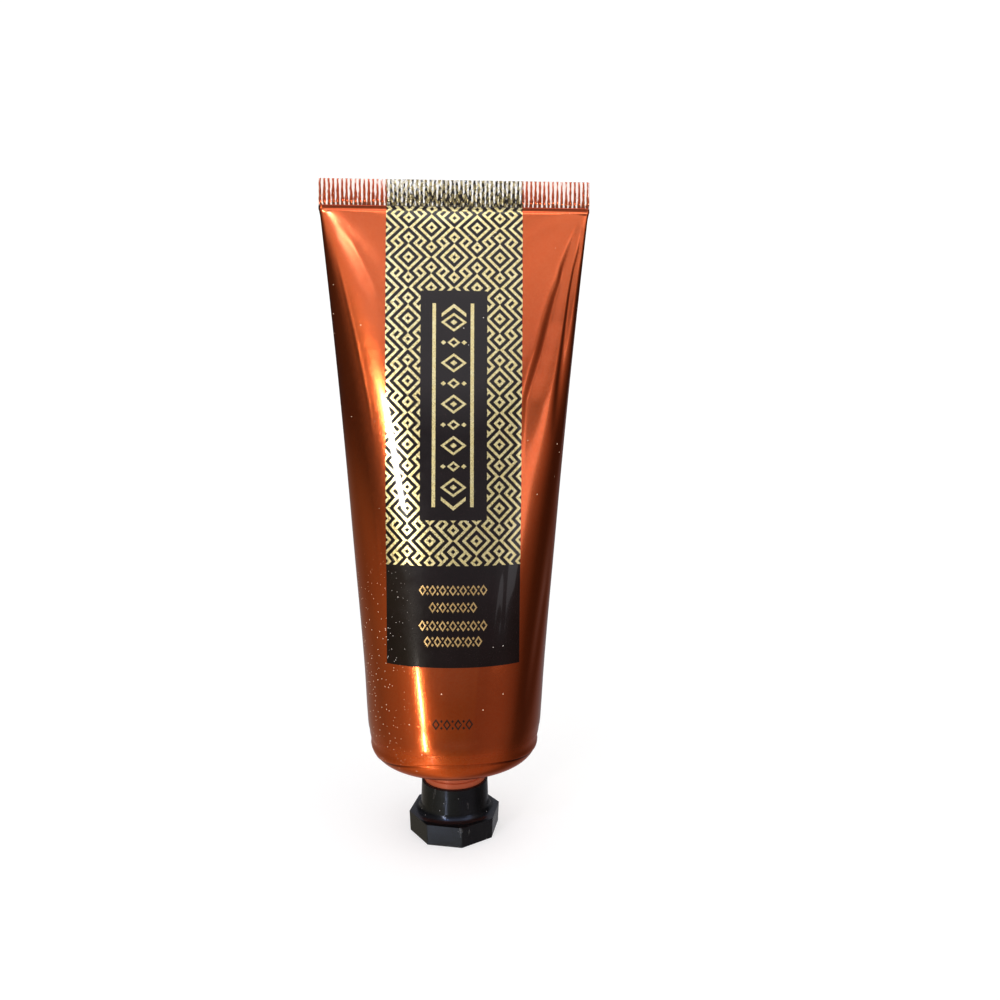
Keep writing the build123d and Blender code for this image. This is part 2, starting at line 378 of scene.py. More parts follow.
class Nodes:
    """Small helper that builds one procedural material."""

    def __init__(self, name):
        self.material = bpy.data.materials.new(name)
        self.material.use_nodes = True
        self.tree = self.material.node_tree
        self.shader = self.tree.nodes["Principled BSDF"]
        self.coords = self.add("ShaderNodeTexCoord").outputs["Object"]

    def add(self, kind, **inputs):
        node = self.tree.nodes.new(kind)
        self.feed(node, inputs)
        return node

    def feed(self, node, inputs):
        """Set or link the node's inputs, given by name or by number."""
        for key, value in inputs.items():
            plug(self.tree, node.inputs[key], value)

    def set(self, **inputs):
        self.feed(self.shader, {k.replace("_", " "): v for k, v in inputs.items()})

    def place(self):
        """The x, y and z of the point on the piece."""
        return self.add("ShaderNodeSeparateXYZ", Vector=self.coords).outputs

    def noise(self, scale, detail=2.0, stretch=None, roughness=0.5):
        coords = self.coords
        if stretch is not None:
            coords = self.add("ShaderNodeMapping", Vector=coords, Scale=stretch).outputs["Vector"]
        inputs = {"Vector": coords, "Scale": scale, "Detail": detail, "Roughness": roughness}
        return self.add("ShaderNodeTexNoise", **inputs).outputs["Fac"]

    def cells(self, scale):
        """Distance to the middle of the nearest cell, and that cell's random number."""
        node = self.add("ShaderNodeTexVoronoi", Vector=self.coords, Scale=scale)
        split = self.add("ShaderNodeSeparateColor", Color=node.outputs["Color"])
        return node.outputs["Distance"], split.outputs[0]

    def ramp(self, fac, *stops):
        return fill_ramp(self.add("ShaderNodeValToRGB", Fac=fac), stops)

    def mix(self, fac, a, b):
        """Colours a to b; a plain colour is given as (r, g, b)."""
        ends = [v if isinstance(v, bpy.types.NodeSocket) else (*v, 1) for v in (a, b)]
        return mix_node(self.tree, "MIX", fac, *ends)

    def math(self, operation, a, b=0.0, clamp=False):
        node = self.tree.nodes.new("ShaderNodeMath")
        node.operation, node.use_clamp = operation, clamp
        self.feed(node, {0: a, 1: b})
        return node.outputs[0]

    def times(self, a, b):
        return self.math("MULTIPLY", a, b)

    def plus(self, a, b):
        return self.math("ADD", a, b)

    def most(self, a, b):
        return self.math("MAXIMUM", a, b)

    def remap(self, value, a, b, low, high):
        """Map a..b to low..high, and hold it beyond."""
        node = self.add("ShaderNodeMapRange", Value=value)
        self.feed(node, {"From Min": a, "From Max": b, "To Min": low, "To Max": high})
        return node.outputs["Result"]

    def bump(self, height, strength, distance):
        node = self.add("ShaderNodeBump", Height=height, Strength=strength, Distance=distance)
        return node.outputs["Normal"]

    def specks(self, scale, share, size):
        """1 inside small scattered dust grains, 0 elsewhere."""
        distance, number = self.cells(scale)
        chosen = self.math("GREATER_THAN", number, 1 - share)
        return self.times(chosen, self.math("LESS_THAN", distance, size))


def scattered_dust(m):
    """Fine dust everywhere, and more of it low on the left of the front."""
    x, y, z = m.place()
    left = m.remap(x, -8 * MM, -15 * MM, 0.0, 1.0)
    low = m.remap(z, 72 * MM, 52 * MM, 0.0, 1.0)
    zone = m.times(m.math("MULTIPLY", left, low, True), m.math("LESS_THAN", y, 0.0))
    grains = m.most(m.specks(1150.0, 0.80, 0.13), m.specks(560.0, 0.30, 0.07))
    return m.most(m.most(m.specks(420.0, 0.03, 0.06), m.specks(900.0, 0.03, 0.11)), m.times(grains, zone))


def copper_laminate(name, ribbed=False, weld=False):
    """Metallised web: copper with fine flake, dust, a painted shade line under the ribs, painted highlights
    and shade on the ribs, a painted shadow line on the weld, and a softer foot.
    """
    m = Nodes(name)
    _, flake = m.cells(5200.0)
    tone = m.ramp(
        m.noise(38.0, 3.0),
        (0.30, (0.84, 0.125, 0.025)), (0.52, (0.90, 0.147, 0.031)), (0.74, (0.95, 0.175, 0.042)),
    )
    tone = m.mix(m.remap(flake, 0, 1, 0.0, 0.16), tone, (1.0, 0.42, 0.22))
    dust = scattered_dust(m)
    tone = m.mix(m.times(dust, 0.8), tone, (1.0, 0.72, 0.52))
    # painted shade: a darker line in the crease right under the ribs
    tone = m.mix(seal_crease_shade(m), tone, (0.30, 0.036, 0.010))
    if weld:
        tone = m.mix(edge_shadow(m), tone, (0.10, 0.012, 0.004))
    dust_and_glint = m.times(dust, 0.85)
    if ribbed:
        # ribs: painted highlights on the crests and painted shade in the furrows; the highlighted crests
        # also lose their metal
        tone, crest_glint = rib_glints_and_shade(m, tone, (1.0, 0.90, 0.86), (0.74, 0.16, 0.06), -0.4, 0.35, 0.7)
        dust_and_glint = m.most(dust_and_glint, m.times(crest_glint, 0.8))
    z = m.place()[2]
    foot = 27.5 * MM, 24.5 * MM  # the heat of the weld has dulled the web here
    rough = m.plus(m.remap(m.noise(900.0, 3.0), 0.3, 0.7, 0.13, 0.17), m.times(dust, 0.3))
    rough = m.plus(rough, m.remap(z, *foot, 0.0, 0.16))
    height = m.plus(m.times(flake, 0.25), m.noise(260.0, 2.0))
    normal = m.bump(height, 0.10, 0.06 * MM)
    m.set(Base_Color=tone, Metallic=m.math("SUBTRACT", 1.0, dust_and_glint), Roughness=rough, Normal=normal)
    m.set(Coat_Weight=m.remap(z, *foot, 0.5, 0.1), Coat_Roughness=0.07, Coat_IOR=1.5)
    m.set(Coat_Normal=m.bump(m.noise(120.0, 2.0), 0.05, 0.05 * MM))
    return m.material


def rib_glints_and_shade(m, tone, crest, furrow, low, high, grit):
    """Pressed ribs: painted highlights on the crests and painted shade in the furrows.

    low and high add to the painted highlight at the ribs' foot and top, and grit breaks it up.
    """
    x, _, z = m.place()
    wave = m.math("COSINE", m.times(x, RIB_TURN / MM))
    grain = m.noise(2600.0, 3.0, stretch=(1.0, 1.0, 0.25))
    wave = m.plus(wave, m.remap(grain, 0.3, 0.7, -grit, grit))
    wave = m.plus(wave, m.remap(m.noise(75.0, 2.0), 0.35, 0.65, -0.6, 0.15))
    wave = m.plus(wave, m.remap(z, (RIB_Z + 0.6) * MM, (TOP_Z - 0.9) * MM, low, high))
    # painted highlight on the crests, painted shade in the furrows
    crest_glint = m.remap(wave, -0.55, 0.25, 0.0, 0.95)
    furrow_shade = m.remap(wave, -0.3, -0.95, 0.0, 0.75)
    return m.mix(crest_glint, m.mix(furrow_shade, tone, furrow), crest), crest_glint


def edge_shadow(m):
    """Dark line in the step right under the sleeve's lower edge, strongest at the sides."""
    x, _, z = m.place()
    out = m.math("ABSOLUTE", m.math("DIVIDE", x, TUBE_R * MM))
    lean = m.times(m.math("LESS_THAN", x, 0.0), EDGE_LEAN_LEFT - EDGE_LEAN_RIGHT)
    lean = m.plus(lean, EDGE_LEAN_RIGHT)
    drop = m.plus(m.times(m.times(out, out), EDGE_DROP), m.times(out, lean))
    under = m.math("SUBTRACT", m.math("SUBTRACT", EDGE_FRONT_Z, drop), m.math("DIVIDE", z, MM))
    line = m.remap(under, 0.75, 0.30, 0.0, 0.9)
    return m.times(line, m.remap(out, 0.25, 0.65, 0.15, 1.0))


def seal_crease_shade(m):
    """Darker line right under the ribs: painted shade in the crease of the heat-sealed band."""
    z = m.place()[2]
    over = m.remap(z, NECK_Z * MM, (NECK_Z + 0.5) * MM, 0.0, 1.0)
    under = m.remap(z, (RIB_Z - 0.1) * MM, (RIB_Z + 0.05) * MM, 1.0, 0.0)
    return m.times(m.times(over, under), 0.75)


def dark_print(name, ribbed=False):
    """The label's dark ground: near-black ink under a gloss coat, duller low down."""
    m = Nodes(name)
    tone = m.ramp(m.noise(90.0, 4.0), (0.35, (0.0030, 0.0010, 0.0013)), (0.7, (0.0052, 0.0021, 0.0026)))
    tone = m.mix(m.times(scattered_dust(m), 0.7), tone, (0.75, 0.68, 0.62))
    if ribbed:
        # painted highlights on the rib crests and painted shade in the furrows
        tone, _ = rib_glints_and_shade(m, tone, (0.92, 0.91, 0.89), (0.006, 0.004, 0.004), -1.2, 0.4, 1.2)
    rough = m.remap(m.noise(500.0, 4.0), 0.3, 0.7, 0.16, 0.30)
    normal = m.bump(m.noise(260.0, 2.0), 0.08, 0.06 * MM)
    gloss = m.remap(m.place()[2], 74 * MM, 52 * MM, 1.0, 0.5)
    m.set(Base_Color=tone, Metallic=0.0, Roughness=rough, Normal=normal)
    m.set(Specular_IOR_Level=0.12, Coat_Weight=gloss, Coat_Roughness=0.04, Coat_IOR=1.55)
    return m.material


def gold_foil(name, ribbed=False, tones=((0.93, 0.77, 0.34), (0.99, 0.87, 0.48))):
    """Hot-stamped foil between two tones."""
    m = Nodes(name)
    tone = m.ramp(m.noise(700.0, 3.0), (0.3, tones[0]), (0.7, tones[1]))
    if ribbed:
        # painted highlights on the rib crests and painted shade in the furrows
        tone, _ = rib_glints_and_shade(m, tone, (1.0, 0.97, 0.88), (0.05, 0.032, 0.010), -1.0, 0.4, 1.2)
    rough = m.remap(m.noise(1500.0, 3.0), 0.3, 0.7, 0.20, 0.36)
    normal = m.bump(m.noise(1900.0, 2.0), 0.12, 0.04 * MM)
    m.set(Base_Color=tone, Metallic=0.8, Roughness=rough, Normal=normal)
    m.set(Coat_Weight=0.5, Coat_Roughness=0.06)
    return m.material


def dark_ink(name):
    m = Nodes(name)
    tone = m.ramp(m.noise(800.0, 3.0), (0.3, (0.012, 0.003, 0.002)), (0.7, (0.024, 0.006, 0.004)))
    rough = m.remap(m.noise(900.0, 3.0), 0.3, 0.7, 0.25, 0.4)
    m.set(Base_Color=tone, Roughness=rough, Specular_IOR_Level=0.2, Coat_Weight=0.3, Coat_Roughness=0.07)
    return m.material


def satin_shoulder(name):
    m = Nodes(name)
    tone = m.ramp(m.noise(70.0, 3.0), (0.3, (0.42, 0.080, 0.030)), (0.7, (0.52, 0.110, 0.044)))
    tone = m.mix(m.times(m.specks(700.0, 0.05, 0.12), 0.6), tone, (0.95, 0.65, 0.5))
    rough = m.remap(m.noise(1100.0, 4.0), 0.3, 0.7, 0.34, 0.46)
    normal = m.bump(m.noise(1500.0, 3.0), 0.12, 0.05 * MM)
    m.set(Base_Color=tone, Metallic=0.35, Roughness=rough, Normal=normal)
    m.set(Coat_Weight=0.25, Coat_Roughness=0.2)
    return m.material


def gloss_cap(name):
    m = Nodes(name)
    tone = m.ramp(m.noise(160.0, 4.0), (0.3, (0.0016, 0.0017, 0.002)), (0.7, (0.0040, 0.0040, 0.0042)))
    lint = m.ramp(m.noise(520.0, 5.0, stretch=(1.0, 1.0, 0.35)), (0.66, (0, 0, 0)), (0.74, (1, 1, 1)))
    haze = m.most(m.specks(900.0, 0.16, 0.13), m.times(lint, 0.35))
    tone = m.mix(m.times(haze, 0.35), tone, (0.40, 0.37, 0.34))
    scratches = m.noise(90.0, 6.0, stretch=(1.0, 1.0, 14.0), roughness=0.7)
    rough = m.plus(m.remap(scratches, 0.35, 0.75, 0.12, 0.32), m.times(haze, 0.35))
    height = m.plus(scratches, m.times(m.noise(1400.0, 3.0), 0.4))
    normal = m.bump(height, 0.10, 0.06 * MM)
    m.set(Base_Color=tone, Roughness=rough, Normal=normal)
    # The bluish specular tint is painted reflection: it stands in for cool light in the cap's reflections.
    m.set(Specular_IOR_Level=0.65, Specular_Tint=(0.54, 0.64, 0.95, 1.0))
    return m.material


def mottled(name, low, high, roughness, metallic=0.0):
    """A plain finish that clouds between two tones, for the pieces inside."""
    m = Nodes(name)
    tone = m.ramp(m.noise(150.0, 4.0), (0.3, low), (0.7, high))
    rough = m.remap(m.noise(700.0, 3.0), 0.3, 0.7, roughness - 0.06, roughness + 0.06)
    normal = m.bump(m.noise(900.0, 3.0), 0.15, 0.08 * MM)
    m.set(Base_Color=tone, Roughness=rough, Normal=normal, Metallic=metallic)
    return m.material


COPPER_SKIN = copper_laminate("copper_laminate")
COPPER_WELD = copper_laminate("copper_weld", weld=True)
DARK_SKIN = dark_print("dark_print")
GOLD_SKIN = gold_foil("gold_foil")
COPPER_RIBS = copper_laminate("copper_ribs", ribbed=True)
DARK_RIBS = dark_print("dark_ribs", ribbed=True)
# The captions' foil is a darker, more orange copy of the label's foil: painted shade low on the label.
GOLD_CAPTION = gold_foil("gold_caption", tones=((0.62, 0.40, 0.16), (0.86, 0.60, 0.27)))
GOLD_RIBS = gold_foil("gold_ribs", ribbed=True)

sleeve = make_mesh(
    "sleeve_body",
    np.concatenate(rings),
    sleeve_faces,
    "tube",
    [COPPER_SKIN, DARK_SKIN],
    band,
)
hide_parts("tube_sleeve")


# ------------------------------------------------------------------ pattern of the label
# Cells (i, j) lie on a diagonal grid: i rises up to the right and j down to the right.
REACH = 92  # cells searched up each diagonal from the middle, and half as many down
PERIOD = 15  # the pattern repeats every (15, -15) cells, straight up
THINNER = 0.07  # taken off each side of a foil stroke, in cells


def lattice_level(i, j):
    """Nested lozenges: odd levels are foil, even ones dark."""
    level = 99
    for a in range(-9, 10):
        for b in range(-9, 10):
            u, v = i - (13 * a - 2 * b), j - (13 * b - 2 * a)
            if max(abs(u), abs(v)) > 9:
                continue
            level = min(level, max(abs(u), abs(v)), max(abs(u - 5), abs(v + 5)) + 2)
            level = min(level, max(abs(u + 5), abs(v - 5)) + 2)
    return level


@functools.cache
def repeat_is_foil(i, j):
    return lattice_level(i, j) % 2 == 1


def is_foil(i, j):
    """True on a cell of foil, looked up at the same place in the repeat nearest the middle."""
    shift = round((i - j) / (2 * PERIOD))
    return repeat_is_foil(i - PERIOD * shift, j + PERIOD * shift)


def nearest(value):
    return int(np.floor(value + 0.5))


def foil_at(s, z):
    """True where the lattice's foil lies, for a point on the label."""
    across, up = s / UNIT_S, (z - LATTICE_Z) / UNIT_Z
    return is_foil(nearest((across + up) / 2), nearest((across - up) / 2))


# ------------------------------------------------------------------ ribbed crimp
RIB_COLUMNS = 8
FLAT_HALF = 0.28  # half of the web's thickness in the furrows
RIB_RISE = 0.34  # height of a crest over a furrow
ROUND_TOP = 0.35  # stretch over which the top edge is rounded
FOIL_SHIFT = 0.42  # the ribs carry the foil up on a crest and down in a furrow


def build_crimp():
    """Ribbed seal, the same in front and behind, with the label running over it."""
    s = np.linspace(-HALF_GIRTH, HALF_GIRTH, RIBS * RIB_COLUMNS + 1)
    ring_s, side = mirror_back(s)
    heights = np.concatenate(
        [
            [148.2, 148.6, 148.85],
            np.linspace(148.95, 149.6, 6),
            np.linspace(149.85, 153.7, 15),
            np.linspace(153.9, TOP_Z - 0.03, 5),
        ]
    )[::-1]
    crest = (0.5 + 0.5 * np.cos(RIB_TURN * ring_s)) ** 0.75
    ends = rounded_end(ring_s, 0.5)
    wobble = 0.05 * np.sin(0.9 * ring_s) + 0.04 * np.sin(0.31 * ring_s + 1.0)
    rows = []
    for z in heights:
        foot_round = smooth((z - RIB_Z - 2.4 * wobble) / 0.55) ** 0.6
        over = max(z - (TOP_Z - ROUND_TOP), 0) / (ROUND_TOP + 0.01)
        head_round = np.sqrt(max(1 - over**2, 0.05))
        depth = (FLAT_HALF + RIB_RISE * crest * foot_round * (0.35 + 0.65 * head_round)) * head_round
        y = np.where(side == 0, -1, 1) * depth * ends
        rows.append(np.column_stack([ring_s, y, np.full(len(ring_s), z)]))
    rows.insert(0, rows[0] * (1, 0.02, 1) + (0, 0, 0.02))
    rows.append(rows[-1] * (1, 0.02, 1))
    count = len(ring_s)
    faces = ring_faces(len(rows), count)
    # close the top and the foot across, from each front point to the one behind it
    bottom = (len(rows) - 1) * count
    for k in range(len(s) - 1):
        across = list(dict.fromkeys((k, k + 1, (count - k - 1) % count, (count - k) % count)))
        faces += [across, [bottom + c for c in reversed(across)]]
    index = np.full(len(faces), COPPER)
    middle = (s[:-1] + s[1:]) / 2
    for row in range(len(rows) - 1):
        z = (rows[row][0, 2] + rows[row + 1][0, 2]) / 2
        for column in (np.abs(middle) < LABEL_HALF).nonzero()[0]:
            shift = FOIL_SHIFT * np.cos(RIB_TURN * middle[column])
            index[row * count + column] = FOIL if foil_at(middle[column], z + shift) else DARK
    points = np.concatenate(rows)
    points[:, 2] = np.minimum(points[:, 2], TOP_Z)
    skins = [COPPER_RIBS, DARK_RIBS, GOLD_RIBS]
    piece = make_mesh("sleeve_crimp", points, faces, "tube", skins, index)
    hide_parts("tube_sleeve")


build_crimp()


# ------------------------------------------------------------------ prints on the sleeve
def on_sleeve(s, z, lift):
    """Points and normals on the finished sleeve's front, lifted along the normal."""
    s, z = np.asarray(s, float), np.asarray(z, float)
    row = np.interp(-z, -ROW_Z, np.arange(len(ROW_Z)))
    column = np.interp(s, FRONT_S, np.arange(len(FRONT_S)))
    r = np.minimum(row.astype(int), len(ROW_Z) - 2)
    c = np.minimum(column.astype(int), len(FRONT_S) - 2)
    u, v = (row - r)[:, None], (column - c)[:, None]

    def blend(table):
        upper = table[r, c] * (1 - v) + table[r, c + 1] * v
        return upper * (1 - u) + (table[r + 1, c] * (1 - v) + table[r + 1, c + 1] * v) * u

    point, normal = blend(grid), blend(normals)
    normal /= np.linalg.norm(normal, axis=1, keepdims=True)
    return point + normal * lift, normal


def anticlockwise(cell):
    area = sum(a[0] * b[1] - b[0] * a[1] for a, b in zip(cell, cell[1:] + cell[:1]))
    return cell if area > 0 else cell[::-1]


def foil_piece(name, cells, material, height=0.022, root=0.03):
    """A closed thin layer of print made of small (s, z) polygons, on the sleeve."""
    places, order, polygons = {}, [], []
    for cell in cells:
        polygon = []
        for s, z in anticlockwise(cell):
            key = (round(s * 2000), round(z * 2000))  # corners within half a micron are one
            if key not in places:
                places[key] = len(order)
                order.append((s, z))
            if places[key] not in polygon:
                polygon.append(places[key])
        if len(polygon) > 2:
            polygons.append(polygon)
    flat = np.array(order)
    top, normal = on_sleeve(flat[:, 0], flat[:, 1], height)
    bottom, _ = on_sleeve(flat[:, 0], flat[:, 1], -root)
    count = len(order)
    faces = [tuple(p) for p in polygons]
    edges = {}
    for p in polygons:
        for a, b in zip(p, p[1:] + p[:1]):
            edges[a, b] = edges.get((a, b), 0) + 1
    walls = [(b, a, a + count, b + count) for a, b in edges if (b, a) not in edges]
    under = [tuple(v + count for v in reversed(p)) for p in polygons]
    points = np.concatenate([top, bottom])
    mesh = make_mesh(name, points, faces + walls + under, "tube", [material]).data
    # the top shades like the sleeve under it, and the thin sides stay flat
    custom = []
    for polygon in mesh.polygons:
        for vertex in polygon.vertices:
            custom.append(tuple(normal[vertex] if polygon.index < len(faces) else polygon.normal))
    mesh.normals_split_custom_set(custom)


def lozenge(s, z, half_s, half_z):
    """Corners of a lozenge round (s, z)."""
    return [(s - half_s, z), (s, z - half_z), (s + half_s, z), (s, z + half_z)]


def drawn_in(p, q):
    """Grid point (p, q), in half cells, moved in so that the foil's strokes are a little thinner."""
    cells = {}
    for a in (-0.25, 0.25):
        for b in (-0.25, 0.25):
            cells[a > 0, b > 0] = not is_foil(nearest(p / 2 + a), nearest(q / 2 + b))
    right, left = cells[True, True] + cells[True, False], cells[False, True] + cells[False, False]
    up, down = cells[True, True] + cells[False, True], cells[True, False] + cells[False, False]
    i, j = p / 2 - THINNER * np.sign(right - left), q / 2 - THINNER * np.sign(up - down)
    return (i + j) * UNIT_S, LATTICE_Z + (i - j) * UNIT_Z


def in_panel(s, z):
    return abs(s) < PANEL_HALF - HAIR and PANEL_FOOT + HAIR < z < PANEL_HEAD - HAIR


def on_label(s, z):
    return abs(s) <= LABEL_HALF + HAIR and LATTICE_FOOT - HAIR <= z <= LATTICE_HEAD


def clear_of_panel(point):
    """The point, moved onto the label's or the panel's edge where it lies beyond."""
    s = min(max(point[0], -LABEL_HALF), LABEL_HALF)
    z = max(point[1], LATTICE_FOOT)
    if in_panel(s, z):
        gaps = (PANEL_HALF - abs(s), z - PANEL_FOOT, PANEL_HEAD - z)
        side = gaps.index(min(gaps))
        if side == 0:
            s = np.copysign(PANEL_HALF, s)
        else:
            z = PANEL_FOOT if side == 1 else PANEL_HEAD
    return s, z


def lattice_cells():
    """Quarters of the foil cells on the label, outside the panel."""
    cells = []
    for i in range(-REACH // 2, REACH):
        for j in range(-REACH, REACH // 2):
            across, z = i + j, LATTICE_Z + (i - j) * UNIT_Z
            if abs(across) > 33 or not LATTICE_FOOT - UNIT_Z <= z <= LATTICE_HEAD + 0.7 or not is_foil(i, j):
                continue
            for a in (0, 1):
                for b in (0, 1):
                    centre = (across + (a + b - 1) / 2) * UNIT_S, z + (a - b) * UNIT_Z / 2
                    if on_label(*centre) and not in_panel(*centre):
                        p, q = 2 * i - 1 + a, 2 * j - 1 + b
                        corners = ((p, q), (p, q + 1), (p + 1, q + 1), (p + 1, q))
                        cells.append([clear_of_panel(drawn_in(*c)) for c in corners])
    return cells


def strip(a, b, c, d, parts):
    """Quads along a band whose long sides run a-b and d-c."""

    def at(p, q, share):
        return p[0] + (q[0] - p[0]) * share, p[1] + (q[1] - p[1]) * share

    steps = [k / parts for k in range(parts + 1)]
    return [[at(a, b, t), at(a, b, u), at(d, c, u), at(d, c, t)] for t, u in zip(steps, steps[1:])]


def frame_cells(outer, inner, parts=5):
    """A closed outline between two polygons of as many corners."""
    cells = []
    for k in range(len(outer)):
        n = (k + 1) % len(outer)
        cells += strip(outer[k], outer[n], inner[n], inner[k], parts)
    return cells


def upright_rule(s, z, half_s, half_z, parts):
    left, right, low, high = s - half_s, s + half_s, z - half_z, z + half_z
    return strip((right, low), (right, high), (left, high), (left, low), parts)


def ring_lozenge(s, z, half_s, half_z, stroke):
    inner = 1 - stroke / half_s
    return frame_cells(lozenge(s, z, half_s, half_z), lozenge(s, z, half_s * inner, half_z * inner))


def chevron(s, z, half, rise, stroke):
    """A V of two mitred arms, pointing up for a positive rise."""
    tip, cells = (s, z + rise / 2), []
    for side in (-1, 1):
        end = (s + side * half, z - rise / 2)
        cells += strip(end, tip, (tip[0], tip[1] - stroke), (end[0], end[1] - stroke), 4)
    return cells


def ornament_cells():
    """Upright chain of lozenges and chevrons between the two long rules."""
    cells = []
    for k in range(-4, 5):
        z = PANEL_MIDDLE + k * 4.62
        if k % 2 == 0:
            cells += ring_lozenge(0.0, z, 2.95, 2.15, 0.85)
            cells += [lozenge(0.0, z, 0.80, 0.62)]
        else:
            cells += ring_lozenge(0.0, z, 1.45, 1.15, 0.70)
            cells += [lozenge(side * 2.35, z, 0.62, 0.52) for side in (-1, 1)]
    for side in (-1, 1):
        cells += chevron(0.0, PANEL_MIDDLE + side * 21.6, 2.8, side * 2.2, 0.85)
    return cells


def border_row(z, half, count):
    """Row of open lozenges with small solid ones between them."""
    cells = []
    pitch = 2 * half / count
    for k in range(count):
        s = -half + pitch * (k + 0.5)
        cells += ring_lozenge(s, z, 0.86, 1.20, 0.36)
        if k:
            cells += [lozenge(s - pitch / 2, z + rise, 0.30, 0.36) for rise in (-0.72, 0.72)]
    return cells


# small plain borders: four under the lattice, and one low on the copper
CAPTION_ROWS = ((61.3, 8.0, 7), (57.6, 5.7, 5), (53.6, 8.0, 7), (50.2, 6.8, 6))
captions = [cell for row in CAPTION_ROWS for cell in border_row(*row)]
rules = [cell for s in (-4.5, 4.2) for cell in upright_rule(s, PANEL_MIDDLE, 0.40, 22.8, 60)]
foil_piece("foil_lattice", lattice_cells(), GOLD_SKIN)
foil_piece("foil_rules", rules, GOLD_SKIN)
foil_piece("foil_ornament", ornament_cells(), GOLD_SKIN)
foil_piece("foil_captions", captions, GOLD_CAPTION)
foil_piece("ink_marks", border_row(32.5, 4.8, 4), dark_ink("dark_ink"), height=0.012)


# ------------------------------------------------------------------ weld under the sleeve's edge
def build_weld():
    """Closed band of melted web on the shoulder's arc, from under the sleeve to the arc's foot."""
    rows = []
    for z in (25.2, 24.4, 23.9, 23.5, 23.2, 22.8, 22.4, 21.9, 21.4, 20.9, 20.4, 20.0, 19.7, 19.45):
        rows.append(round_ring(z, shoulder_radius(z) + 0.03 - 0.10 * smooth((z - EDGE_Z) / 0.4)))
    for z, cut in ((19.45, 0.40), (21.0, 0.90), (23.2, 0.55), (25.2, 0.55)):
        rows.append(round_ring(z, shoulder_radius(z) - cut))
    faces = joined_rings(len(rows), columns)
    make_mesh("weld_band", np.concatenate(rows), faces, "tube", [COPPER_WELD])


build_weld()


# ------------------------------------------------------------------ cream inside the sleeve
def build_cream():
    """The filling, just inside the wall, with its core down the neck."""
    level, last, gap = 118.0, 27.0, 0.6
    pick = np.arange(0, columns, 4)
    filled = np.flatnonzero((ROW_Z < level) & (ROW_Z > last))[::5]
    rows = [(grid[row] - normals[row] * gap)[pick] for row in filled]
    rows.insert(0, rows[0] * (0.55, 0.55, 1) + (0, 0, 0.3))
    rows.insert(0, rows[0] * (0.05, 0.05, 1))
    turn = np.arctan2(last_straight[pick, 0], -last_straight[pick, 1])
    for radius, z in ((18.2, 25.6), (18.2, 23.3), (17.1, 21.2), (2.9, 17.4), (2.9, 3.5), (0.1, 3.48)):
        rows.append(np.column_stack([radius * np.sin(turn), -radius * np.cos(turn), np.full(len(pick), z)]))
    count = len(pick)
    faces = ring_faces(len(rows), count)
    faces.append(tuple(range(count)))
    faces.append(tuple(range(len(rows) * count - 1, (len(rows) - 1) * count - 1, -1)))
    cream = mottled("cream", (0.84, 0.84, 0.80), (0.92, 0.92, 0.89), 0.35)
    piece = make_mesh("cream_fill", np.concatenate(rows), faces, "tube", [cream])
    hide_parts("shaving_cream")


build_cream()

# ------------------------------------------------------------------ finishes of the CAD pieces
FINISHES = {
    "shoulder_head": satin_shoulder("satin_shoulder"),
    "screw_cap": gloss_cap("gloss_cap"),
    "barrier_insert": mottled("barrier_plastic", (0.70, 0.69, 0.65), (0.80, 0.79, 0.76), 0.4),
    "orifice_seal": mottled("seal_foil", (0.60, 0.60, 0.62), (0.80, 0.80, 0.82), 0.28, 1.0),
    "cap_liner": mottled("liner_foam", (0.74, 0.73, 0.70), (0.84, 0.83, 0.80), 0.7),
}
for node, material in FINISHES.items():
    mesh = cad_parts[node].data
    mesh.materials.clear()
    mesh.materials.append(material)


# ------------------------------------------------------------------ floor and backdrop
def build_backdrop():
    """Pale floor, in metres, that curves up all round into a wall."""
    curve, steps = 0.5, 72
    profile = [(0.05, 0.0), (0.12, 0.0), (0.3, 0.0), (0.7, 0.0)]
    for t in np.linspace(0.1, np.pi / 2, 12):
        profile.append((0.7 + curve * np.sin(t), curve - curve * np.cos(t)))
    profile.append((0.7 + curve, 1.6))
    turn = 2 * np.pi * np.arange(steps) / steps
    points = [(r * np.cos(a), r * np.sin(a), z) for r, z in profile for a in turn]
    faces = ring_faces(len(profile), steps) + [tuple(range(steps))]
    mesh = bpy.data.meshes.new("backdrop")
    mesh.from_pydata(points, [], faces)
    mesh.polygons.foreach_set("use_smooth", [True] * len(mesh.polygons))
    mesh.update()
    obj = bpy.data.objects.new("backdrop", mesh)
    bpy.context.scene.collection.objects.link(obj)
    material = bpy.data.materials.new("backdrop_paper")
    material.use_nodes = True
    inputs = material.node_tree.nodes["Principled BSDF"].inputs
    inputs["Base Color"].default_value = (0.5, 0.5, 0.5, 1)
    inputs["Roughness"].default_value = 0.9
    inputs["Specular IOR Level"].default_value = 0.1
    inputs["Emission Color"].default_value = (1, 1, 1, 1)
    inputs["Emission Strength"].default_value = 0.55
    mesh.materials.append(material)
    obj.visible_glossy = False
    obj.visible_shadow = False
    # The tube stands on its cap, so the floor stays under the cap when the cap is unscrewed.
    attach(obj, "cap")


build_backdrop()


# ------------------------------------------------------------------ light
def direction(azimuth, elevation):
    """Unit vector from the tube: azimuth 0 is the front, positive to the right."""
    a, e = np.radians(azimuth), np.radians(elevation)
    return Vector((np.sin(a) * np.cos(e), -np.cos(a) * np.cos(e), np.sin(e)))


def panel_light(name, azimuth, elevation, distance, size, radiance, colour=(1, 1, 1)):
    """A rectangular lamp of a given radiance that faces the middle of the tube."""
    data = bpy.data.lights.new(name, "AREA")
    data.shape, data.size, data.size_y = "RECTANGLE", size[0], size[1]
    data.energy = radiance * np.pi * size[0] * size[1]
    data.color = colour
    obj = bpy.data.objects.new(name, data)
    bpy.context.scene.collection.objects.link(obj)
    heading = direction(azimuth, elevation)
    obj.location = Vector((0, 0, 0.09)) + heading * distance
    obj.rotation_euler = heading.to_track_quat("Z", "Y").to_euler()
    obj.visible_camera = False


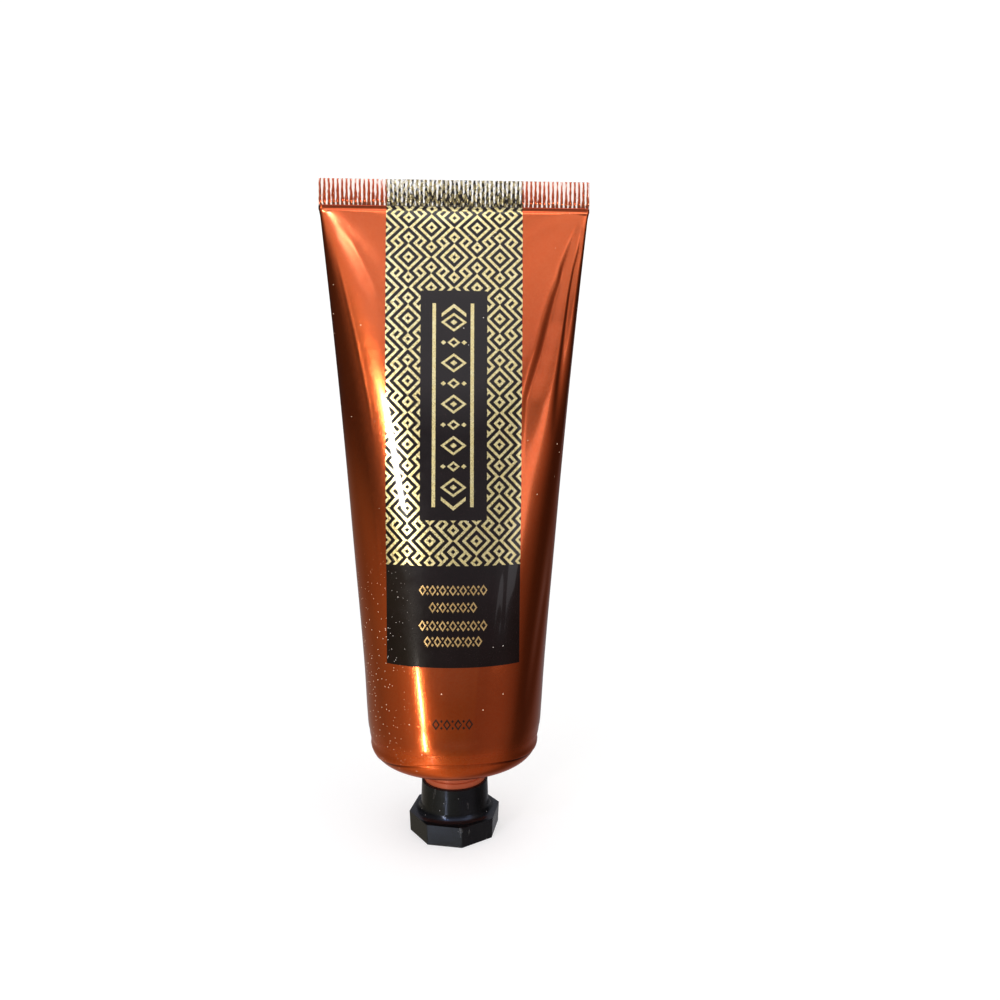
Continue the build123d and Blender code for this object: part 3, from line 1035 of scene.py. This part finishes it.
# The key stands as four lamps, one over the other, so that each stretch of the streak that it
# draws down the tube gets its own width and strength.
panel_light("key_high", -30, 36, 1.0, (0.013, 0.015), 1250, (0.50, 0.66, 1.0))
panel_light("key_middle", -32.5, 10.8, 1.0, (0.075, 0.20), 46, (1.0, 0.95, 0.88))
panel_light("key_low", -34.5, -10.8, 1.0, (0.022, 0.13), 95, (1.0, 0.93, 0.84))
panel_light("key_foot", -28, -30, 1.0, (0.05, 0.16), 8, (0.97, 0.98, 1.0))
panel_light("fill_right", 47, 4, 1.0, (0.22, 0.34), 0.7, (0.95, 0.95, 1.0))
panel_light("overhead", 20, 78, 0.9, (0.8, 0.8), 1.2)


# Brightness of the studio by azimuth, above and below the horizon: (degrees, level, tint).
WARM, COOL = (1.0, 0.90, 0.74), (0.98, 0.96, 1.0)
AMBER, RED = (1.0, 0.84, 0.50), (1.0, 0.78, 0.62)
ABOVE = (
    (-180, 0.22, COOL), (-158, 0.22, COOL), (-140, 0.05, COOL), (-64, 0.10, WARM), (-56, 0.17, WARM),
    (-49, 0.26, WARM), (-40, 0.48, WARM), (-30, 0.44, COOL), (-20, 0.39, COOL), (14, 0.40, COOL),
    (30, 0.44, COOL), (41, 0.70, COOL), (54, 0.66, COOL), (63, 0.42, RED), (75, 0.20, RED),
    (88, 0.08, RED), (128, 0.03, COOL), (150, 0.22, COOL), (180, 0.22, COOL),
)
BELOW = (
    (-180, 0.30, COOL), (-140, 0.18, WARM), (-100, 0.16, AMBER), (-64, 0.27, AMBER), (-50, 0.40, AMBER),
    (-40, 0.48, AMBER), (-28, 0.38, AMBER), (-16, 0.28, AMBER), (-4, 0.21, AMBER), (8, 0.20, AMBER),
    (24, 0.17, RED), (40, 0.18, RED), (54, 0.18, RED), (68, 0.13, RED), (82, 0.05, RED), (98, 0.04, RED),
    (112, 0.06, RED), (150, 0.14, COOL), (180, 0.25, COOL),
)
# The same by elevation, for all azimuths: (degrees, factor).
HEIGHTS = (
    (-90, 1.60), (-48, 1.55), (-28, 1.50), (-18, 1.12), (-6, 0.92), (0, 0.66), (17, 0.60), (22.5, 1.60),
    (32, 1.75), (38, 1.95), (43, 1.90), (47, 1.40), (60, 1.30), (90, 1.30),
)
STRENGTH = 2.0


def build_world():
    world = bpy.data.worlds.new("studio")
    bpy.context.scene.world = world
    world.use_nodes = True
    tree = world.node_tree
    coords = tree.nodes.new("ShaderNodeTexCoord")
    split = tree.nodes.new("ShaderNodeSeparateXYZ")
    tree.links.new(coords.outputs["Generated"], split.inputs[0])
    x, y, z = split.outputs

    def math(operation, *values):
        node = tree.nodes.new("ShaderNodeMath")
        node.operation = operation
        for socket, value in zip(node.inputs, values):
            plug(tree, socket, value)
        return node.outputs[0]

    def ramp(value, stops):
        node = tree.nodes.new("ShaderNodeValToRGB")
        tree.links.new(value, node.inputs[0])
        return fill_ramp(node, stops)

    def sweep(bands):
        stops = [((a + 180) / 360, tuple(level * c for c in tint)) for a, level, tint in bands]
        return ramp(around, stops)

    azimuth = math("ARCTAN2", x, math("MULTIPLY", y, -1.0))
    around = math("MULTIPLY_ADD", azimuth, 1 / (2 * np.pi), 0.5)
    upward = math("MULTIPLY_ADD", math("ARCSINE", z), 1 / np.pi, 0.5)
    upper = math("MULTIPLY_ADD", z, 8.0, 0.75)
    upper.node.use_clamp = True
    sides = mix_node(tree, "MIX", upper, sweep(BELOW), sweep(ABOVE))
    heights = ramp(upward, [((e + 90) / 180, (level / STRENGTH,) * 3) for e, level in HEIGHTS])
    background = tree.nodes["Background"]
    tree.links.new(mix_node(tree, "MULTIPLY", 1.0, sides, heights), background.inputs["Color"])
    background.inputs["Strength"].default_value = STRENGTH


build_world()


# ------------------------------------------------------------------ camera
def build_camera():
    """Camera at the picture's viewing angle, a little to the right and looking slightly down."""
    pan, pitch, roll = -0.035127, 0.0685641, 0.00406678
    forward = Vector((-np.sin(pan) * np.cos(pitch), np.cos(pan) * np.cos(pitch), -np.sin(pitch)))
    level = Vector((np.cos(pan), np.sin(pan), 0))
    above = level.cross(forward)
    right = level * np.cos(roll) + above * np.sin(roll)
    up = above * np.cos(roll) - level * np.sin(roll)
    data = bpy.data.cameras.new("camera")
    data.sensor_width, data.lens = 36.0, 26.707
    data.clip_start, data.clip_end = 0.01, 20.0
    obj = bpy.data.objects.new("camera", data)
    bpy.context.scene.collection.objects.link(obj)
    axes = Matrix((right, up, -forward)).transposed().to_4x4()
    obj.matrix_world = Matrix.Translation((0.0045745, -0.1767214, 0.092328)) @ axes
    bpy.context.scene.camera = obj


build_camera()
bpy.context.scene.view_settings.view_transform = "Standard"
